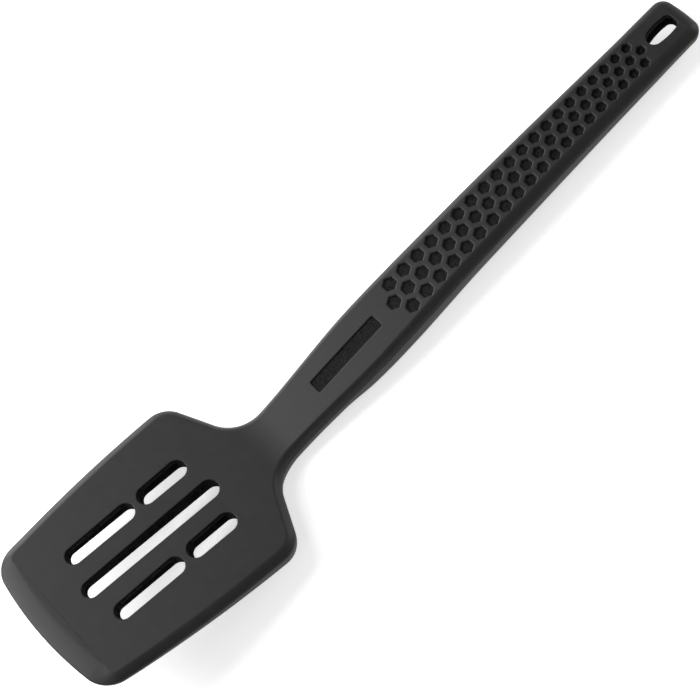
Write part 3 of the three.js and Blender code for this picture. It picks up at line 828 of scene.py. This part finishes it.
FLOOR_SIZE = 6
FLOOR_DROP = 0.02 * MM
FLOOR_PAINT = 0.75
FLOOR_GLOW = 0.6
CAMERA_PLACE = Vector((-0.03827, -0.3173, 0.65572))
CAMERA_FORWARD = Vector((0.03816, 0.44258, -0.89592))
CAMERA_UP = Vector((0.71587, 0.61343, 0.33352))
CAMERA_NEAR = 0.01
CAMERA_FAR = 50
CAMERA_LENS_MM = 107.83
CAMERA_SENSOR_MM = 36
WORLD_LIGHT = 0.25
LAMP_AIM = Vector((-0.03, 0, 0))
Lamp = namedtuple("Lamp", "name place size power")
LAMPS = [
    Lamp("blade_side", Vector((-0.45, 0.35, 0.45)), 0.35, 3.4),
    Lamp("low_behind", Vector((-0.2, 1.2, 0.3)), 0.5, 7),
    Lamp("behind", Vector((0.05, 0.9, 0.5)), 0.5, 1.2),
    Lamp("end_side", Vector((1.2, -0.1, 0.4)), 0.6, 4.4),
    Lamp("front", Vector((-0.9, -0.4, 0.7)), 0.6, 1.2),
    Lamp("neck_sheen", Vector((-0.15, 0.35, 0.6)), 0.3, 1.2),
]


def white_floor():
    """A white floor that keeps the shadow, and that the camera sees as nearly plain white."""
    material = bpy.data.materials.new("white_floor")
    material.use_nodes = True
    add, link = node_setter(material)
    nodes = material.node_tree.nodes
    nodes.remove(nodes["Principled BSDF"])
    paint = add("ShaderNodeBsdfDiffuse", Color=grey(FLOOR_PAINT))
    glow = add("ShaderNodeEmission")
    seen = add("ShaderNodeLightPath")
    any_seen = seen.outputs["Is Camera Ray"]
    for kind in ("Is Glossy Ray", "Is Transmission Ray"):
        either = add("ShaderNodeMath", operation="MAXIMUM")
        link(any_seen, either.inputs[0])
        link(seen.outputs[kind], either.inputs[1])
        any_seen = either.outputs["Value"]
    share = add("ShaderNodeMath", operation="MULTIPLY")
    share.inputs[1].default_value = FLOOR_GLOW
    link(any_seen, share.inputs[0])
    link(share.outputs["Value"], glow.inputs["Strength"])
    both = add("ShaderNodeAddShader")
    link(paint.outputs["BSDF"], both.inputs[0])
    link(glow.outputs["Emission"], both.inputs[1])
    link(both.outputs["Shader"], nodes["Material Output"].inputs["Surface"])
    return material


def make_floor():
    mesh = bpy.data.meshes.new("floor")
    half = FLOOR_SIZE / 2
    corners = [(-half, -half, 0), (half, -half, 0), (half, half, 0), (-half, half, 0)]
    mesh.from_pydata(corners, [], [(0, 1, 2, 3)])
    mesh.materials.append(white_floor())
    floor = bpy.data.objects.new("floor", mesh)
    floor.location.z = -FLOOR_DROP
    bpy.context.scene.collection.objects.link(floor)


def make_camera():
    camera = bpy.data.cameras.new("camera")
    camera.lens = CAMERA_LENS_MM
    camera.sensor_width = CAMERA_SENSOR_MM
    camera.clip_start = CAMERA_NEAR
    camera.clip_end = CAMERA_FAR
    holder = bpy.data.objects.new("camera", camera)
    right = CAMERA_FORWARD.cross(CAMERA_UP).normalized()
    up = right.cross(CAMERA_FORWARD).normalized()
    turn = Matrix((right, up, -CAMERA_FORWARD.normalized())).transposed()
    holder.matrix_world = Matrix.Translation(CAMERA_PLACE) @ turn.to_4x4()
    bpy.context.scene.collection.objects.link(holder)
    bpy.context.scene.camera = holder


def make_lamp(lamp):
    """A round soft lamp aimed at the turner."""
    light = bpy.data.lights.new(lamp.name, "AREA")
    light.shape = "DISK"
    light.size = lamp.size
    light.energy = lamp.power
    holder = bpy.data.objects.new(lamp.name, light)
    holder.location = lamp.place
    holder.rotation_euler = (LAMP_AIM - lamp.place).to_track_quat("-Z", "Y").to_euler()
    bpy.context.scene.collection.objects.link(holder)


def make_world():
    world = bpy.data.worlds.new("studio")
    bpy.context.scene.world = world
    world.use_nodes = True
    back = world.node_tree.nodes["Background"]
    back.inputs["Color"].default_value = grey(1)
    back.inputs["Strength"].default_value = WORLD_LIGHT


# Putting it together

make_camera()
make_world()
make_floor()
for lamp in LAMPS:
    make_lamp(lamp)

skin = silicone("silicone", SATIN)
dull_skin = silicone("dull_silicone", DULL)
# Painted shade: near-black silicone for the walls of the slots and the hole, where shade falls
wall_shade_skin = silicone("painted_shade_silicone", PAINTED_WALL_SHADE)
upper = moulding("upper_moulding", upper_stack)
lower = moulding("lower_moulding", lower_stack)
for piece in (upper, lower):
    piece.data.materials.append(skin)
# The walls of the openings take the painted shade, the pockets and the recess the dull finish
openings = ring_stacks("openings", opening_stacks(), skin, wall_shade_skin, OPENING_PAINTED_SHADE_BANDS)
pockets = ring_stacks("pockets", [*pocket_stacks(), recess_stack()], skin, dull_skin, POCKET_DARK_BANDS)
space = core_space(skin)
cut(upper, [space, openings, pockets])
cut(lower, [space, openings])
for cutter in (openings, pockets, space):
    bpy.data.objects.remove(cutter)
for piece in (upper, lower):
    smooth(piece)

dress(upper, "upper_skin")
dress(lower, "lower_skin")
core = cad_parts["core"]
core.data.materials.clear()
core.data.materials.append(nylon())

bpy.context.scene.view_settings.view_transform = "Standard"
bpy.context.view_layer.update()
